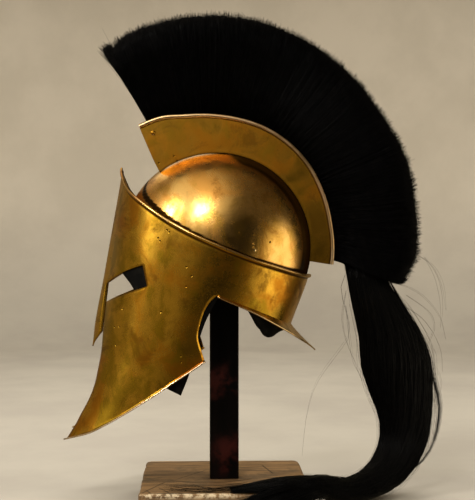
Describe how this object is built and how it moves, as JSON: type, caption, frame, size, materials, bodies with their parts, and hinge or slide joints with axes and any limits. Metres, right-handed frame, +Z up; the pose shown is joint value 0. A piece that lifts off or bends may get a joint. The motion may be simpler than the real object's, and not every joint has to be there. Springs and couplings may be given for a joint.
{
  "type": "corinthian helmet with a horsehair plume on a wooden stand",
  "caption": "Brass Corinthian helmet with nasal, cheek guards and neck guard, a crest box with a black horsehair plume and tail, resting on a square wooden post and base.",
  "frame": {"origin": "middle of the base's underside, on the axis of the post", "axes": "+Z up, the helmet faces -Y, +X is the wearer's left"},
  "size_m": [0.2047, 0.448, 0.5859],
  "materials": {
    "brass": "satin brass with amber tarnish, fine scratches and small pits",
    "crest_brass": "duller brown brass with a bright rolled edge",
    "hair": "black horsehair with a slight sheen",
    "leather": "matt black leather",
    "post_wood": "near-black lacquer over reddish wood",
    "base_wood": "worn brown wood with dark scratches"
  },
  "bodies": {
    "root": {"stand_base": "base_wood", "stand_post": "post_wood", "bowl": "brass", "mask": "brass", "crest_box": "crest_brass", "crest_rivet_left": "crest_brass", "crest_rivet_right": "crest_brass", "liner_cheek_left": "leather", "liner_cheek_right": "leather", "liner_neck": "leather", "plume": "hair"}
  },
  "joints": []
}
